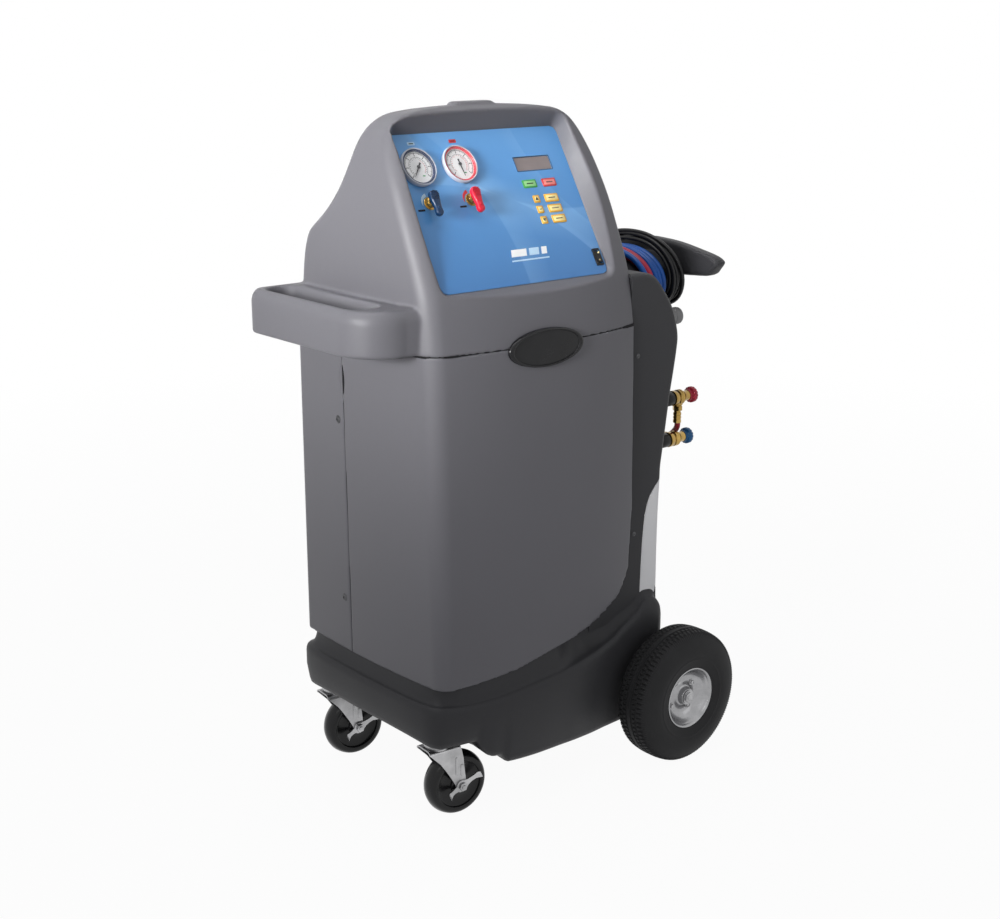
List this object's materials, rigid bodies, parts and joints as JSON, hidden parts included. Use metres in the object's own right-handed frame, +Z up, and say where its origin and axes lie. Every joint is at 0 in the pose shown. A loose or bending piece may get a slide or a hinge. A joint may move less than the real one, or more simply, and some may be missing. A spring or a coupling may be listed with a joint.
{
  "type": "refrigerant recovery machine",
  "caption": "Upright cart for recovering and recharging car air-conditioning refrigerant: gauges and keys on a sloping panel, side tray, hose hanger, big rear wheels and braked front casters.",
  "frame": {"origin": "on the floor, below the middle of the machine's length and width, tray to hanger and wheel to wheel, without the free hoses and lead", "axes": "+Z up, +X towards the big wheels and the hose hanger, -Y towards the person who reads the panel"},
  "size_m": [0.837, 0.599, 1.2396],
  "materials": {
    "grey_moulding": "fine grain",
    "charcoal_moulding": "fine grain",
    "pale_moulding": "satin",
    "panel_face": "printed film",
    "black_plastic": "satin",
    "tyre_rubber": "moulded tread",
    "wheel_rubber": "hard rubber",
    "hose_black": "smooth sheath",
    "hose_blue": "smooth sheath",
    "hose_red": "smooth sheath",
    "zinc_steel": "zinc plated",
    "brass": "turned",
    "red_plastic": "moulded",
    "blue_plastic": "moulded",
    "yellow_key": "printed",
    "green_key": "printed",
    "gauge_case": "satin",
    "display_window": "clear over grey",
    "tank_paint": "gloss",
    "compressor_black": "enamel",
    "pump_blue": "enamel",
    "drier_paint": "enamel",
    "fins": "bare fins",
    "fan_black": "moulded",
    "muffler_grey": "sintered"
  },
  "bodies": {
    "machine": {"axle": "zinc_steel", "back_cover": "grey_moulding", "badge_plate": "black_plastic", "base_tray": "charcoal_moulding", "compressor": "compressor_black", "condenser": "fins", "control_panel": "panel_face", "cord_gland": "black_plastic", "coupler_high": "brass", "coupler_low": "brass", "display_window": "display_window", "exhaust_muffler": "muffler_grey", "far_caster_plate": "zinc_steel", "filter_drier": "drier_paint", "front_cover": "grey_moulding", "high_gauge": "gauge_case", "high_hose_tail": "hose_red", "high_valve_body": "brass", "hood": "grey_moulding", "hose_hanger": "charcoal_moulding", "hose_winding": "hose_blue", "lead_winding": "hose_black", "low_gauge": "gauge_case", "low_hose_tail": "hose_blue", "low_valve_body": "brass", "mains_lead": "hose_black", "mains_plug": "black_plastic", "near_caster_plate": "zinc_steel", "plug_lead": "hose_black", "rear_housing": "charcoal_moulding", "refrigerant_tank": "tank_paint", "scale_platform": "zinc_steel", "tank_cover": "pale_moulding", "vacuum_pump": "pump_blue"},
    "low_lever": {"low_valve_lever": "blue_plastic"},
    "high_lever": {"high_valve_lever": "red_plastic"},
    "low_pointer": {"low_needle": "black_plastic"},
    "high_pointer": {"high_needle": "black_plastic"},
    "rocker": {"power_rocker": "black_plastic"},
    "high_knob": {"high_coupler_knob": "red_plastic"},
    "low_knob": {"low_coupler_knob": "blue_plastic"},
    "near_wheel": {"near_rim": "zinc_steel", "near_tyre": "tyre_rubber"},
    "far_wheel": {"far_rim": "zinc_steel", "far_tyre": "tyre_rubber"},
    "fan": {"fan_blades": "fan_black"},
    "start_key_body": {"start_key": "green_key"},
    "stop_key_body": {"stop_key": "red_plastic"},
    "up_key_body": {"up_key": "yellow_key"},
    "enter_key_body": {"enter_key": "yellow_key"},
    "down_key_body": {"down_key": "yellow_key"},
    "recover_key_body": {"recover_key": "yellow_key"},
    "vacuum_key_body": {"vacuum_key": "yellow_key"},
    "charge_key_body": {"charge_key": "yellow_key"},
    "near_fork": {"near_caster_fork": "zinc_steel"},
    "near_small_wheel": {"near_caster_wheel": "wheel_rubber"},
    "near_brake": {"near_brake_lever": "zinc_steel"},
    "far_fork": {"far_caster_fork": "zinc_steel"},
    "far_small_wheel": {"far_caster_wheel": "wheel_rubber"},
    "far_brake": {"far_brake_lever": "zinc_steel"}
  },
  "joints": [
    {"name": "low_valve_turn", "type": "hinge", "parent": "machine", "child": "low_lever", "pos_m": [-0.2365, -0.11427, 1.09086], "axis": [0, -0.8572, 0.515], "range_deg": [-90, 0]},
    {"name": "high_valve_turn", "type": "hinge", "parent": "machine", "child": "high_lever", "pos_m": [-0.1485, -0.11427, 1.09086], "axis": [0, -0.8572, 0.515], "range_deg": [-90, 0]},
    {"name": "low_needle_turn", "type": "hinge", "parent": "machine", "child": "low_pointer", "pos_m": [-0.2365, -0.07248, 1.141], "axis": [0, -0.8572, 0.515], "range_deg": [-250, 20], "stiffness_Nm_per_rad": 0.001},
    {"name": "high_needle_turn", "type": "hinge", "parent": "machine", "child": "high_pointer", "pos_m": [-0.1485, -0.07248, 1.141], "axis": [0, -0.8572, 0.515], "range_deg": [-270, 0], "stiffness_Nm_per_rad": 0.001},
    {"name": "start_key_press", "type": "slide", "parent": "machine", "child": "start_key_body", "axis": [0, 0.8572, -0.515], "range_m": [0, 0.0008], "stiffness_N_per_m": 500},
    {"name": "stop_key_press", "type": "slide", "parent": "machine", "child": "stop_key_body", "axis": [0, 0.8572, -0.515], "range_m": [0, 0.0008], "stiffness_N_per_m": 500},
    {"name": "up_key_press", "type": "slide", "parent": "machine", "child": "up_key_body", "axis": [0, 0.8572, -0.515], "range_m": [0, 0.0008], "stiffness_N_per_m": 500},
    {"name": "enter_key_press", "type": "slide", "parent": "machine", "child": "enter_key_body", "axis": [0, 0.8572, -0.515], "range_m": [0, 0.0008], "stiffness_N_per_m": 500},
    {"name": "down_key_press", "type": "slide", "parent": "machine", "child": "down_key_body", "axis": [0, 0.8572, -0.515], "range_m": [0, 0.0008], "stiffness_N_per_m": 500},
    {"name": "recover_key_press", "type": "slide", "parent": "machine", "child": "recover_key_body", "axis": [0, 0.8572, -0.515], "range_m": [0, 0.0008], "stiffness_N_per_m": 500},
    {"name": "vacuum_key_press", "type": "slide", "parent": "machine", "child": "vacuum_key_body", "axis": [0, 0.8572, -0.515], "range_m": [0, 0.0008], "stiffness_N_per_m": 500},
    {"name": "charge_key_press", "type": "slide", "parent": "machine", "child": "charge_key_body", "axis": [0, 0.8572, -0.515], "range_m": [0, 0.0008], "stiffness_N_per_m": 500},
    {"name": "power_rock", "type": "hinge", "parent": "machine", "child": "rocker", "pos_m": [0.0835, -0.16836, 0.97171], "axis": [1, 0, 0], "range_deg": [0, 14]},
    {"name": "high_knob_turn", "type": "hinge", "parent": "machine", "child": "high_knob", "pos_m": [0.344, -0.15, 0.678], "axis": [1, 0, 0], "range_deg": [0, 540]},
    {"name": "low_knob_turn", "type": "hinge", "parent": "machine", "child": "low_knob", "pos_m": [0.3345, -0.15, 0.598], "axis": [1, 0, 0], "range_deg": [0, 540]},
    {"name": "near_caster_swivel", "type": "hinge", "parent": "machine", "child": "near_fork", "pos_m": [-0.2795, -0.158, 0.14], "axis": [0, 0, 1], "continuous": true},
    {"name": "near_caster_roll", "type": "hinge", "parent": "near_fork", "child": "near_small_wheel", "pos_m": [-0.2427, -0.16187, 0.06], "axis": [0.1045, 0.9945, 0], "continuous": true},
    {"name": "near_brake_tilt", "type": "hinge", "parent": "near_fork", "child": "near_brake", "pos_m": [-0.2427, -0.16187, 0.06], "axis": [0.1045, 0.9945, 0], "range_deg": [-12, 12]},
    {"name": "far_caster_swivel", "type": "hinge", "parent": "machine", "child": "far_fork", "pos_m": [-0.2795, 0.158, 0.14], "axis": [0, 0, 1], "continuous": true},
    {"name": "far_caster_roll", "type": "hinge", "parent": "far_fork", "child": "far_small_wheel", "pos_m": [-0.2427, 0.15413, 0.06], "axis": [0.1045, 0.9945, 0], "continuous": true},
    {"name": "far_brake_tilt", "type": "hinge", "parent": "far_fork", "child": "far_brake", "pos_m": [-0.2427, 0.15413, 0.06], "axis": [0.1045, 0.9945, 0], "range_deg": [-12, 12]},
    {"name": "near_wheel_roll", "type": "hinge", "parent": "machine", "child": "near_wheel", "pos_m": [0.2275, -0.257, 0.13], "axis": [0, 1, 0], "continuous": true},
    {"name": "far_wheel_roll", "type": "hinge", "parent": "machine", "child": "far_wheel", "pos_m": [0.2275, 0.257, 0.13], "axis": [0, 1, 0], "continuous": true},
    {"name": "fan_spin", "type": "hinge", "parent": "machine", "child": "fan", "pos_m": [-0.2665, 0, 0.2813], "axis": [1, 0, 0], "continuous": true}
  ]
}
